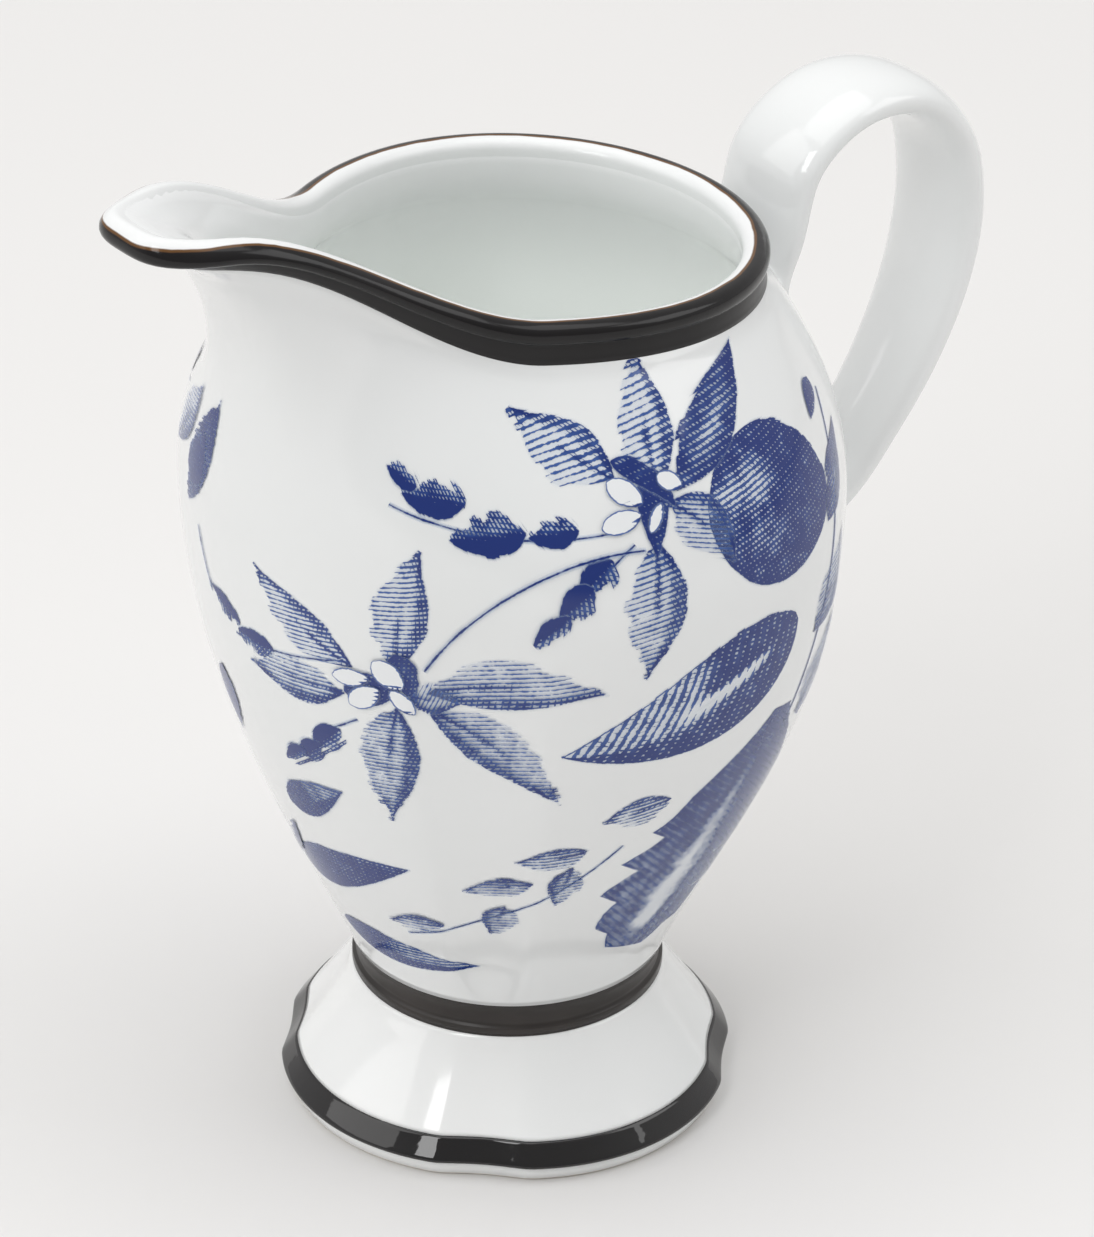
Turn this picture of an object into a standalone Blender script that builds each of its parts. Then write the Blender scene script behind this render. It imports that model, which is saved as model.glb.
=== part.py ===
"""A helmet-shaped porcelain cream jug: bowl with drawn spout, pedestal foot, strap handle and enamel bands.

Metres, +Z up. The handle points to +X and the spout to -X, the jug is alike on both sides of the XZ plane,
and it stands on the plane z = 0.
"""

import math

import bmesh
import bpy
from mathutils import Vector

# Fits between neighbouring pieces
GAP = 0.0003

# Pedestal foot: eight sides, four wide and bowed, four narrow and hollowed
FOOT_RADIUS = 0.0247
FOOT_BASE_SPREAD = 0.0004
FOOT_BASE_HEIGHT = 0.0021
FOOT_SHOULDER_STEP = 0.0008
FOOT_RING_WIDTH = 0.0026
FOOT_WALL = 0.0034
FOOT_EASED_EDGE = 0.0005
FOOT_HOLLOW_RADIUS = 0.0095
FOOT_FLARE = 1.12
PANEL_HALF_ANGLE = math.radians(12.0)
WIDE_SIDE_BOW = 0.020
NARROW_SIDE_HOLLOW = 0.034

# Waist between the foot and the bowl
WAIST_RADIUS = 0.0176
WAIST_TOP_RADIUS = 0.0179
WAIST_HEIGHT = 0.0145
WAIST_BAND_THICKNESS = 0.0008
LUTE_THICKNESS = 0.0010

# Black bands
FOOT_BAND_HEIGHT = 0.0026
FOOT_BAND_OVERHANG = 0.0010
WAIST_BAND_HEIGHT = 0.0043
WAIST_RIDGE_HEIGHT = 0.0011
RIM_BAND_WIDTH = 0.0036
BAND_THICKNESS = 0.0005
BEAD_HEIGHT = 0.0020
BEAD_SWELL = 0.0006
LIP_CREST = 0.0011
LIP_EASE = 0.00015

# Bowl
BELLY_RADIUS = 0.0367
BELLY_HEIGHT = 0.0725
LOWER_FULLNESS = 1.12
SHOULDER_FULLNESS = 1.08
MOUTH_RADIUS = 0.0248
MOUTH_NECK = 0.0042
MOUTH_SHIFT = 0.0022
RIM_HEIGHT = 0.1034
RIM_FRONT_RISE = 0.0034
WALL = 0.0026
FLOOR_THICKNESS = 0.0034
FLOOR_FILLET = 0.0020
PANEL_DEPTH = 0.00035

# Spout
SPOUT_REACH = 0.0540
SPOUT_HALF_WIDTH = 0.0106
SPOUT_RISE = 0.0127
SPOUT_RISE_SPAN = (0.285, 0.865)
SPOUT_SQUARENESS = 3.3
SPOUT_FLARE = 4.0
THROAT_SHARPNESS = 1.9
KEEL_START = 0.5
KEEL_SHARE = 0.13
KEEL_SPREAD = 0.704

# Handle: centre line in the XZ plane, upwards from the rim's height, and outwards first from the mouth's
# wall and then from the belly's, between two roots given by height below the rim and depth in the wall
UPPER_ROOT = (0.0166, 0.0057)
HANDLE_RISE = ((0.0068, -0.0084), (0.0098, 0.0008))
HANDLE_BEND = (
    (0.0076, 0.0053),
    (0.0166, 0.0043),
    (0.0228, -0.0022),
    (0.0246, -0.0109),
    (0.0233, -0.0199),
    (0.0197, -0.0284),
    (0.0145, -0.0361),
    (0.0079, -0.0431),
)
LOWER_ROOT = (0.0484, 0.0014)
HANDLE_WIDTHS = (0.0134, 0.0136, 0.0100)
HANDLE_THICKNESS = 0.0050
HANDLE_SQUARENESS = 2.15
ROOT_FLARE = 0.0008
ROOT_SLIP = 0.0010

# Fineness of the facets
BOWL_SIDES = 80
BOWL_CROWDING = 0.40
BOWL_ROWS = 26
SWEEP_STATIONS = 34
SWEEP_SIDES = 20


def smooth(value):
    value = min(max(value, 0.0), 1.0)
    return value * value * (3.0 - 2.0 * value)


def side_wave(angle):
    """Relative change of radius round an eight-sided piece, zero at its eight corners."""
    quarter = math.radians(90.0)
    turn = (angle + quarter / 2) % quarter - quarter / 2
    wide_half = quarter / 2 - PANEL_HALF_ANGLE
    if abs(turn) <= wide_half:
        return WIDE_SIDE_BOW * math.cos(0.5 * math.pi * turn / wide_half)
    inset = (quarter / 2 - abs(turn)) / PANEL_HALF_ANGLE
    return -NARROW_SIDE_HOLLOW * math.cos(0.5 * math.pi * inset)


# ---------------------------------------------------------------- bowl surface

BOWL_BASE = WAIST_HEIGHT + WAIST_BAND_HEIGHT + GAP
BOWL_HEIGHT = RIM_HEIGHT - BOWL_BASE


def bowl_radius(share):
    """Radius of the round bowl at a share of its height, without spout or panels."""
    height = BOWL_BASE + share * BOWL_HEIGHT
    neck = RIM_HEIGHT - MOUTH_NECK
    if height < BELLY_HEIGHT:
        part = (height - BOWL_BASE) / (BELLY_HEIGHT - BOWL_BASE)
        swell = math.sin(0.5 * math.pi * part) ** LOWER_FULLNESS
        return WAIST_TOP_RADIUS + (BELLY_RADIUS - WAIST_TOP_RADIUS) * swell
    part = min((height - BELLY_HEIGHT) / (neck - BELLY_HEIGHT), 1.0)
    draw = (1.0 - math.cos(0.5 * math.pi * part)) ** SHOULDER_FULLNESS
    flare = smooth((height - neck) / MOUTH_NECK + 0.5)
    curve = min(draw, 1.0) * (1.0 - 0.06 * (1.0 - flare))
    return BELLY_RADIUS - (BELLY_RADIUS - MOUTH_RADIUS) * curve


def merge(first, second):
    """Radius of two outlines run together, rounder where the throat is softer."""
    return (first**THROAT_SHARPNESS + second**THROAT_SHARPNESS) ** (1.0 / THROAT_SHARPNESS)


def spout_bulge(front, half_width):
    """Outline of the spout in plan, 0 on the round bowl and 1 at its tip, by the angle from the tip."""
    ahead = max(math.cos(front), 0.0) / SPOUT_REACH
    aside = math.sin(min(front, 0.5 * math.pi)) / half_width
    trough = (ahead**SPOUT_SQUARENESS + aside**SPOUT_SQUARENESS) ** (-1.0 / SPOUT_SQUARENESS)
    core = (MOUTH_RADIUS**THROAT_SHARPNESS - half_width**THROAT_SHARPNESS) ** (1.0 / THROAT_SHARPNESS)
    return (merge(core, trough) - MOUTH_RADIUS) / (merge(core, SPOUT_REACH) - MOUTH_RADIUS)


def bowl_point(angle, share):
    """Point of the bowl's outer surface; share runs from 0 at the waist to 1 at the rim."""
    front = abs((angle % (2 * math.pi)) - math.pi)
    climb = max((share - KEEL_START) / (1.0 - KEEL_START), 0.0)
    pull = (SPOUT_REACH - MOUTH_RADIUS) * (KEEL_SHARE * climb**2 + (1.0 - KEEL_SHARE) * climb**SPOUT_FLARE)
    spread = KEEL_SPREAD * (1.0 - max(share, KEEL_START)) / (1.0 - KEEL_START)
    half_width = SPOUT_HALF_WIDTH + (MOUTH_RADIUS - SPOUT_HALF_WIDTH) * spread
    panels = side_wave(angle) / NARROW_SIDE_HOLLOW * PANEL_DEPTH * (1.0 - smooth((share - 0.55) / 0.3))
    radius = bowl_radius(share) + pull * spout_bulge(front, half_width) + panels * smooth(share / 0.08)
    x = radius * math.cos(angle) + MOUTH_SHIFT * smooth((share - 0.65) / 0.35)
    y = radius * math.sin(angle)
    forward = -radius * math.cos(angle)
    start, end = SPOUT_RISE_SPAN
    rise = SPOUT_RISE * smooth((forward / SPOUT_REACH - start) / (end - start))
    rise += RIM_FRONT_RISE * 0.5 * (1.0 - math.cos(angle))
    return Vector((x, y, BOWL_BASE + share * BOWL_HEIGHT + rise * share))


def bowl_normal(angle, share):
    step = 0.002
    low = max(share - step, 0.0)
    high = min(share + step, 1.0)
    up = bowl_point(angle, high) - bowl_point(angle, low)
    around = bowl_point(angle + step, share) - bowl_point(angle - step, share)
    return around.cross(up).normalized()


def bowl_offset(angle, share, offset):
    return bowl_point(angle, share) + bowl_normal(angle, share) * offset


def share_below_rim(angle, depth):
    """Share of height at a distance below the rim, measured along the surface."""
    step = 0.004
    share = 1.0
    here = bowl_point(angle, share)
    left = depth
    while left > 0.0:
        there = bowl_point(angle, share - step)
        length = (there - here).length
        if length >= left:
            return share - step * left / length
        left -= length
        share -= step
        here = there
    return share


def lip_point(angle, offset, height):
    """Point of the lip's section: offset out of the wall, height above (or below) the rim line."""
    if height <= 0.0:
        return bowl_offset(angle, share_below_rim(angle, -height), offset)
    up = (bowl_point(angle, 1.0) - bowl_point(angle, 0.99)).normalized()
    return bowl_offset(angle, 1.0, offset) + up * height


def bowl_angles():
    """Angles round the bowl, closer together at the spout."""
    turns = [2 * math.pi * index / BOWL_SIDES for index in range(BOWL_SIDES)]
    return [turn + BOWL_CROWDING * math.sin(turn) for turn in turns]


# ---------------------------------------------------------------- mesh making


def make_material(name, colour, roughness, metallic=0.0):
    material = bpy.data.materials.new(name)
    material.use_nodes = True
    shader = material.node_tree.nodes["Principled BSDF"]
    shader.inputs["Base Color"].default_value = (*colour, 1.0)
    shader.inputs["Roughness"].default_value = roughness
    shader.inputs["Metallic"].default_value = metallic
    return material


def loft(name, rings, closed=False):
    """Extrudes the first ring from ring to ring; the ends are capped, or the last ring meets the first."""
    bm = bmesh.new()
    station = bm.verts.layers.int.new("station")
    first = [bm.verts.new(point) for point in rings[0]]
    for index, vert in enumerate(first):
        vert[station] = index
    edges = [bm.edges.new((first[index - 1], first[index])) for index in range(len(first))]
    if not closed:
        bm.faces.new(first)
    for ring in rings[1:] + (rings[:1] if closed else []):
        grown = bmesh.ops.extrude_edge_only(bm, edges=edges)["geom"]
        fresh = {item for item in grown if isinstance(item, bmesh.types.BMVert)}
        for vert in fresh:
            vert.co = ring[vert[station]]
        grown_edges = [item for item in grown if isinstance(item, bmesh.types.BMEdge)]
        edges = [edge for edge in grown_edges if set(edge.verts) <= fresh]
    if closed:
        bmesh.ops.remove_doubles(bm, verts=bm.verts, dist=1e-7)
    else:
        bmesh.ops.contextual_create(bm, geom=edges)
    bmesh.ops.recalc_face_normals(bm, faces=bm.faces)
    mesh = bpy.data.meshes.new(name)
    bm.to_mesh(mesh)
    bm.free()
    mesh.shade_smooth()
    mesh.set_sharp_from_angle(angle=math.radians(38.0))
    piece = bpy.data.objects.new(name, mesh)
    bpy.context.scene.collection.objects.link(piece)
    return piece


def round_ring(radius, height, angles):
    return [Vector((radius * math.cos(angle), radius * math.sin(angle), height)) for angle in angles]


def panel_ring(radius, height, amount, angles):
    """Ring of an eight-sided piece; amount 0 gives a circle and 1 the full bow and hollow of its sides."""
    radii = [radius * (1.0 + amount * side_wave(angle)) for angle in angles]
    return [Vector((r * math.cos(a), r * math.sin(a), height)) for r, a in zip(radii, angles)]


def panel_angles():
    """Angles that land on the eight corners, ten to a wide side and four to a narrow one."""
    angles = []
    for quarter in range(4):
        centre = quarter * math.radians(90.0)
        half = math.radians(45.0) - PANEL_HALF_ANGLE
        angles += [centre - half + 2 * half * index / 10 for index in range(10)]
        angles += [centre + half + 2 * PANEL_HALF_ANGLE * index / 4 for index in range(4)]
    return angles


# ---------------------------------------------------------------- start

for leftover in list(bpy.data.objects):
    bpy.data.objects.remove(leftover, do_unlink=True)

glaze = (0.86, 0.87, 0.86)
enamel = (0.012, 0.011, 0.012)
biscuit = (0.78, 0.76, 0.72)

# ---------------------------------------------------------------- bowl with spout

recess = BAND_THICKNESS + GAP
angles = bowl_angles()
band_shares = [share_below_rim(angle, RIM_BAND_WIDTH + GAP) for angle in angles]
skirt = BEAD_HEIGHT * 0.7
rows = [index / BOWL_ROWS for index in range(BOWL_ROWS + 1)]

rings = [round_ring(WAIST_TOP_RADIUS * 0.93, BOWL_BASE, angles)]
for row in rows:
    rings.append([bowl_point(angle, share * row) for angle, share in zip(angles, band_shares)])
for depth in (RIM_BAND_WIDTH + GAP, RIM_BAND_WIDTH * 0.5, BEAD_HEIGHT * 0.5):
    rings.append([lip_point(angle, -recess, -depth) for angle in angles])
crest = WALL / 2
rings.append([lip_point(angle, -recess - LIP_EASE, 0.0) for angle in angles])
rings.append([lip_point(angle, -crest, 2 * LIP_EASE) for angle in angles])
rings.append([lip_point(angle, recess - WALL + LIP_EASE, 0.0) for angle in angles])
rings.append([lip_point(angle, recess - WALL, -skirt - GAP) for angle in angles])
rings.append([lip_point(angle, -WALL, -skirt - GAP) for angle in angles])
floor_share = (FLOOR_THICKNESS + FLOOR_FILLET) / BOWL_HEIGHT
inner_shares = [share_below_rim(angle, 2 * BEAD_HEIGHT) for angle in angles]
inner_rows = 16
for index in range(inner_rows + 1):
    part = index / inner_rows
    rings.append(
        [
            bowl_offset(angle, top + (floor_share - top) * part, -WALL)
            for angle, top in zip(angles, inner_shares)
        ]
    )
floor_height = BOWL_BASE + FLOOR_THICKNESS
inner_radius = bowl_radius(floor_share) - WALL
rings.append(round_ring(inner_radius * 0.90, floor_height + FLOOR_FILLET * 0.35, angles))
rings.append(round_ring(inner_radius * 0.70, floor_height, angles))
body = loft("body", rings)
body.data.materials.append(make_material("white_glaze", glaze, 0.12))

# ---------------------------------------------------------------- black enamel on the rim

outside = [(0.0, -RIM_BAND_WIDTH), (0.0, -BEAD_HEIGHT * 1.15), (BEAD_SWELL * 0.6, -BEAD_HEIGHT * 0.8)]
outside += [(BEAD_SWELL, -BEAD_HEIGHT * 0.45), (BEAD_SWELL * 0.9, -BEAD_HEIGHT * 0.05)]
over_lip = [(BEAD_SWELL * 0.2, LIP_CREST * 0.55), (-WALL * 0.25, LIP_CREST * 0.9), (-WALL * 0.55, LIP_CREST)]
over_lip += [(-WALL * 0.82, LIP_CREST * 0.64), (-WALL * 0.98, -LIP_CREST * 0.1), (-WALL, -skirt)]
under_skin = [(BAND_THICKNESS - WALL, -skirt), (BAND_THICKNESS - WALL, LIP_CREST * 0.1)]
under_skin += [(-crest, LIP_CREST * 0.55), (-BAND_THICKNESS, LIP_CREST * 0.1)]
under_skin += [(-BAND_THICKNESS, -RIM_BAND_WIDTH * part) for part in (0.33, 0.55, 1.0)]
profile = outside + over_lip + under_skin
rings = [[lip_point(angle, offset, height) for angle in angles] for offset, height in profile]
rim_band = loft("rim_band", rings, closed=True)
rim_band.data.materials.append(make_material("black_enamel_rim", enamel, 0.15))

# ---------------------------------------------------------------- pedestal foot

corners = panel_angles()
band_top = FOOT_BASE_HEIGHT + FOOT_BAND_HEIGHT
foot_top = WAIST_HEIGHT - GAP
edge_radius = FOOT_RADIUS + FOOT_BAND_OVERHANG
shoulder_radius = FOOT_RADIUS - FOOT_SHOULDER_STEP
stem_radius = WAIST_RADIUS - WAIST_BAND_THICKNESS - GAP
stem_top = BOWL_BASE - GAP - LUTE_THICKNESS - GAP

rings = [round_ring(stem_radius, stem_top, corners), round_ring(stem_radius, foot_top, corners)]
for index in range(7):
    part = index / 6
    radius = WAIST_RADIUS + (shoulder_radius - WAIST_RADIUS) * part**FOOT_FLARE
    height = foot_top + (band_top + GAP - foot_top) * part
    rings.append(panel_ring(radius, height, 0.15 + 0.85 * part, corners))
rings.append(panel_ring(shoulder_radius - recess, band_top + GAP, 1.0, corners))
rings.append(panel_ring(edge_radius - recess - GAP, FOOT_BASE_HEIGHT - GAP, 1.0, corners))
rings.append(panel_ring(FOOT_RADIUS + FOOT_BASE_SPREAD, FOOT_BASE_HEIGHT - GAP, 1.0, corners))
rings.append(panel_ring(FOOT_RADIUS, FOOT_EASED_EDGE, 1.0, corners))
rings.append(panel_ring(FOOT_RADIUS - FOOT_EASED_EDGE, 0.0, 1.0, corners))
rings.append(panel_ring(FOOT_RADIUS - FOOT_RING_WIDTH, 0.0, 0.8, corners))
hollow_edge = FOOT_RADIUS - FOOT_RING_WIDTH - FOOT_EASED_EDGE
hollow_base = 2 * FOOT_EASED_EDGE
hollow_top = WAIST_HEIGHT - FOOT_WALL
for index in range(6):
    part = index / 5
    radius = hollow_edge - (hollow_edge - FOOT_HOLLOW_RADIUS) * part
    height = hollow_base + (hollow_top - hollow_base) * math.sin(0.5 * math.pi * part) ** 0.9
    rings.append(panel_ring(radius, height, 0.7 * (1.0 - part), corners))
foot = loft("foot", rings)
foot.data.materials.append(make_material("white_glaze_foot", glaze, 0.12))

# ---------------------------------------------------------------- black enamel on the foot

slope = FOOT_BAND_HEIGHT * 0.27
bevel = FOOT_BAND_HEIGHT * 0.12
profile = [
    (shoulder_radius, band_top),
    (edge_radius - FOOT_BAND_OVERHANG * 0.9, band_top - slope),
    (edge_radius - bevel, FOOT_BASE_HEIGHT + 3 * bevel),
    (edge_radius, FOOT_BASE_HEIGHT + bevel),
    (edge_radius - bevel * 0.7, FOOT_BASE_HEIGHT),
    (edge_radius - BAND_THICKNESS - bevel, FOOT_BASE_HEIGHT),
    (shoulder_radius - BAND_THICKNESS, band_top),
]
rings = [panel_ring(radius, height, 1.0, corners) for radius, height in profile]
foot_band = loft("foot_band", rings, closed=True)
foot_band.data.materials.append(make_material("black_enamel_foot", enamel, 0.12))

# ---------------------------------------------------------------- black enamel on the waist

band_inner = stem_radius + GAP
ridge = WAIST_HEIGHT + WAIST_RIDGE_HEIGHT
waist_top = WAIST_HEIGHT + WAIST_BAND_HEIGHT
groove = WAIST_RADIUS - GAP
step = WAIST_RIDGE_HEIGHT * 0.18
profile = [
    (band_inner, waist_top),
    (WAIST_TOP_RADIUS, waist_top),
    (WAIST_TOP_RADIUS - GAP, waist_top - WAIST_RIDGE_HEIGHT),
    (groove, ridge + 4 * step),
    (groove, ridge + step),
    (WAIST_RADIUS, ridge - step),
    (WAIST_RADIUS, WAIST_HEIGHT),
    (band_inner, WAIST_HEIGHT),
]
rings = [round_ring(radius, height, corners) for radius, height in profile]
waist_band = loft("waist_band", rings, closed=True)
waist_band.data.materials.append(make_material("black_enamel_waist", (0.040, 0.036, 0.034), 0.35))

# ---------------------------------------------------------------- slip that lutes the bowl to the foot

lute_base = stem_top + GAP
rings = [round_ring(stem_radius, height, corners) for height in (lute_base, lute_base + LUTE_THICKNESS)]
waist_slip = loft("waist_slip", rings)
waist_slip.data.materials.append(make_material("clay_slip_waist", biscuit, 0.6))

# ---------------------------------------------------------------- handle and its slip joints


def root_point(root):
    """Path point at a root, from its height below the rim and its depth inside the bowl's wall."""
    below_rim, depth = root
    height = RIM_HEIGHT - below_rim
    return (bowl_point(0.0, (height - BOWL_BASE) / BOWL_HEIGHT).x - depth, height)


handle_path = [root_point(UPPER_ROOT)]
mouth_wall = MOUTH_RADIUS + MOUTH_SHIFT
handle_path += [(mouth_wall + outwards, RIM_HEIGHT + upwards) for outwards, upwards in HANDLE_RISE]
handle_path += [(BELLY_RADIUS + outwards, RIM_HEIGHT + upwards) for outwards, upwards in HANDLE_BEND]
handle_path += [root_point(LOWER_ROOT)]


def catmull(points, share):
    """Point and direction at a share of a smooth curve through evenly spaced points."""
    spans = len(points) - 1
    place = min(max(share, 0.0), 1.0) * spans
    span = min(int(place), spans - 1)
    t = place - span
    p1 = Vector(points[span])
    p2 = Vector(points[span + 1])
    p0 = Vector(points[span - 1]) if span > 0 else 2 * p1 - p2
    p3 = Vector(points[span + 2]) if span + 2 <= spans else 2 * p2 - p1
    a = 2 * p1
    b = p2 - p0
    c = 2 * p0 - 5 * p1 + 4 * p2 - p3
    d = 3 * p1 - p0 - 3 * p2 + p3
    point = 0.5 * (a + b * t + c * t * t + d * t * t * t)
    slope = b + 2 * c * t + 3 * d * t * t
    return point, slope.normalized()


def handle_ring(share, grow=0.0):
    """Rounded-strap section of the handle at a share of its path, grown outwards."""
    point, slope = catmull(handle_path, share)
    across = Vector((-slope.y, slope.x))
    first, middle, last = HANDLE_WIDTHS
    if share < 0.5:
        width = first + (middle - first) * smooth(share * 2.0)
    else:
        width = middle + (last - middle) * smooth(share * 2.0 - 1.0)
    ring = []
    for index in range(SWEEP_SIDES):
        turn = 2 * math.pi * index / SWEEP_SIDES
        power = 2.0 / HANDLE_SQUARENESS
        side = math.copysign(abs(math.cos(turn)) ** power, math.cos(turn)) * (width / 2 + grow)
        thick = math.copysign(abs(math.sin(turn)) ** power, math.sin(turn)) * (HANDLE_THICKNESS / 2 + grow)
        ring.append(Vector((point.x + across.x * thick, side, point.y + across.y * thick)))
    return ring


def bowl_rings(offset):
    """Rings of the bowl's outer surface moved outwards, from the waist to the rim."""
    shares = [index / BOWL_ROWS for index in range(BOWL_ROWS + 1)]
    return [[bowl_offset(angle, share, offset) for angle in angles] for share in shares]


def make_guide(name, rings, closed=False):
    guide = loft(name, rings, closed)
    guide.hide_render = True
    guide.display_type = "WIRE"
    return guide


def cut_with(piece, guide, operation):
    cut = piece.modifiers.new(guide.name, "BOOLEAN")
    cut.operation = operation
    cut.object = guide
    cut.solver = "EXACT"


slip_face = GAP + ROOT_SLIP
slip_layer = make_guide("guide_slip_layer", bowl_rings(slip_face) + bowl_rings(GAP)[::-1], closed=True)
handle_side = make_guide("guide_handle_side", bowl_rings(slip_face + GAP))

rings = [handle_ring(index / SWEEP_STATIONS) for index in range(SWEEP_STATIONS + 1)]
handle = loft("handle", rings)
cut_with(handle, handle_side, "DIFFERENCE")
handle.data.materials.append(make_material("white_glaze_handle", glaze, 0.12))


def root_slip(name, shares):
    """Pad of slip under one root of the handle, a little wider than the handle all round."""
    rings = [handle_ring(share, ROOT_FLARE) for share in shares]
    slip = loft(name, rings)
    cut_with(slip, slip_layer, "INTERSECT")
    slip.data.materials.append(make_material("clay_" + name, glaze, 0.12))
    return slip


upper_slip = root_slip("upper_root_slip", (0.0, 0.08, 0.16))
lower_slip = root_slip("lower_root_slip", (0.82, 0.91, 1.0))

# ---------------------------------------------------------------- assembly

pieces = (body, rim_band, foot, foot_band, waist_band, waist_slip, handle, upper_slip, lower_slip)
reaches = [vert.co.x for piece in pieces for vert in piece.data.vertices]
jug = bpy.data.objects.new("jug", None)
bpy.context.scene.collection.objects.link(jug)
jug.location.x = -0.5 * (min(reaches) + max(reaches))
for piece in (*pieces, slip_layer, handle_side):
    piece.parent = jug
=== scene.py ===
"""A helmet-shaped porcelain cream jug: white glaze, black enamel bands and a cobalt print of flowers.

Metres, +Z up, handle towards +X and spout towards -X, as in the frame it is built round.
"""

import math

import bpy
from mathutils import Matrix, Vector
from mathutils.bvhtree import BVHTree


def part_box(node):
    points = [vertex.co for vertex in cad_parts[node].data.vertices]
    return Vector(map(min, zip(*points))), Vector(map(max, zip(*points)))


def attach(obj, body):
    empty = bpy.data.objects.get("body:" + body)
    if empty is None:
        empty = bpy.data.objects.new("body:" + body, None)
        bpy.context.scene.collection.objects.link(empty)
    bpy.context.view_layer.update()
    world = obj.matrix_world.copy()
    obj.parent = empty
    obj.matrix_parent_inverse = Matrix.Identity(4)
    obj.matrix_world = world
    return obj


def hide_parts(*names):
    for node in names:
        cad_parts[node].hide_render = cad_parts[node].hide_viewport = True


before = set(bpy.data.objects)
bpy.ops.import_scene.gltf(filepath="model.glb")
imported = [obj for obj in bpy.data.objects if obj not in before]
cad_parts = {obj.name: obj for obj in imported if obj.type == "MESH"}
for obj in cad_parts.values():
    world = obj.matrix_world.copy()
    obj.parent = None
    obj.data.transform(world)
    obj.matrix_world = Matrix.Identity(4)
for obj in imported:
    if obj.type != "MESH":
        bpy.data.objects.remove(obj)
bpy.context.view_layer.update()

# ---------------------------------------------------------------- bowl
# The bowl is slip-cast porcelain, one shell from the waist up to the drawn-out lip.
# It is dipped in clear glaze and fired, so it is glassy and slightly uneven, and a touch green where
# the glaze runs thick inside. The inside is also painted lighter and given a faint glow: painted light
# for the light that fills the hollow.

foot_low, foot_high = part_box("foot")
waist_low, waist_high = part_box("waist_band")

AXIS_X = 0.5 * (foot_low.x + foot_high.x)
BOWL_BASE = waist_high.z
BOWL_FOOT_RADIUS = 0.5 * (waist_high.y - waist_low.y)
BELLY_RADIUS = 0.03662
BELLY_HEIGHT = 0.0725
LOWER_FULLNESS = 1.12
SHOULDER_FULLNESS = 1.08
MOUTH_RADIUS = 0.0248
MOUTH_NECK = 0.0042
MOUTH_SHIFT = 0.0022
MOUTH_SHIFT_START = 0.65
RIM_HEIGHT = 0.1034
RIM_FRONT_RISE = 0.0034
NECK_TUCK = 0.06
BOWL_HEIGHT = RIM_HEIGHT - BOWL_BASE
WALL = 0.0026
FLOOR_THICKNESS = 0.0034
FLOOR_FILLET = 0.0045
FLOOR_STEPS = (0.93, 0.80, 0.62, 0.40, 0.20)
FLOOR_FLAT = 0.30
FLOOR_CURL = 0.75
PANEL_DEPTH = 0.00035
PANEL_HOLLOW_GAIN = 1.9
PANEL_START = 0.08
PANEL_FADE = (0.60, 0.33)
PANEL_HALF_ANGLE = math.radians(12.0)
WIDE_SIDE_BOW = 0.020
NARROW_SIDE_HOLLOW = 0.034
SPOUT_REACH = 0.0540
SPOUT_HALF_WIDTH = 0.0106
SPOUT_RISE = 0.0127
SPOUT_RISE_SPAN = (0.285, 0.865)
SPOUT_SQUARENESS = 3.3
SPOUT_FLARE = 4.0
SPOUT_CROWDING = 0.40
THROAT_SHARPNESS = 1.9
KEEL_START = 0.5
KEEL_SHARE = 0.13
KEEL_SPREAD = 0.704
BAND_WIDTH = 0.0036
ENAMEL_SINK = 0.00012
HAIR = 0.0001
LIP_CORE_HEIGHT = 0.0006
INNER_START = 0.0007
BOWL_SIDES = 224
BOWL_ROWS = 96
INNER_ROWS = 64


def smooth(value):
    value = min(max(value, 0.0), 1.0)
    return value * value * (3.0 - 2.0 * value)


def side_wave(angle):
    """Change of radius round an eight-sided piece, zero at its eight corners."""
    quarter = math.radians(90.0)
    turn = (angle + quarter / 2) % quarter - quarter / 2
    wide_half = quarter / 2 - PANEL_HALF_ANGLE
    if abs(turn) <= wide_half:
        return WIDE_SIDE_BOW * math.cos(0.5 * math.pi * turn / wide_half)
    inset = (quarter / 2 - abs(turn)) / PANEL_HALF_ANGLE
    return -NARROW_SIDE_HOLLOW * math.cos(0.5 * math.pi * inset)


def bowl_radius(share):
    height = BOWL_BASE + share * BOWL_HEIGHT
    neck = RIM_HEIGHT - MOUTH_NECK
    if height < BELLY_HEIGHT:
        part = max((height - BOWL_BASE) / (BELLY_HEIGHT - BOWL_BASE), 0.0)
        swell = math.sin(0.5 * math.pi * part) ** LOWER_FULLNESS
        return BOWL_FOOT_RADIUS + (BELLY_RADIUS - BOWL_FOOT_RADIUS) * swell
    part = min((height - BELLY_HEIGHT) / (neck - BELLY_HEIGHT), 1.0)
    draw = (1.0 - math.cos(0.5 * math.pi * part)) ** SHOULDER_FULLNESS
    flare = smooth((height - neck) / MOUTH_NECK + 0.5)
    return BELLY_RADIUS - (BELLY_RADIUS - MOUTH_RADIUS) * min(draw, 1.0) * (1.0 - NECK_TUCK * (1.0 - flare))


def merge(first, second):
    """Larger of two lengths, with a soft change from one to the other."""
    return (first**THROAT_SHARPNESS + second**THROAT_SHARPNESS) ** (1.0 / THROAT_SHARPNESS)


def spout_bulge(front, half_width):
    """Outline of the spout in plan, 0 on the round bowl and 1 at the tip, by the angle from the tip."""
    ahead = max(math.cos(front), 0.0) / SPOUT_REACH
    aside = math.sin(min(front, 0.5 * math.pi)) / half_width
    trough = (ahead**SPOUT_SQUARENESS + aside**SPOUT_SQUARENESS) ** (-1.0 / SPOUT_SQUARENESS)
    core = (MOUTH_RADIUS**THROAT_SHARPNESS - half_width**THROAT_SHARPNESS) ** (1.0 / THROAT_SHARPNESS)
    return (merge(core, trough) - MOUTH_RADIUS) / (merge(core, SPOUT_REACH) - MOUTH_RADIUS)


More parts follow.
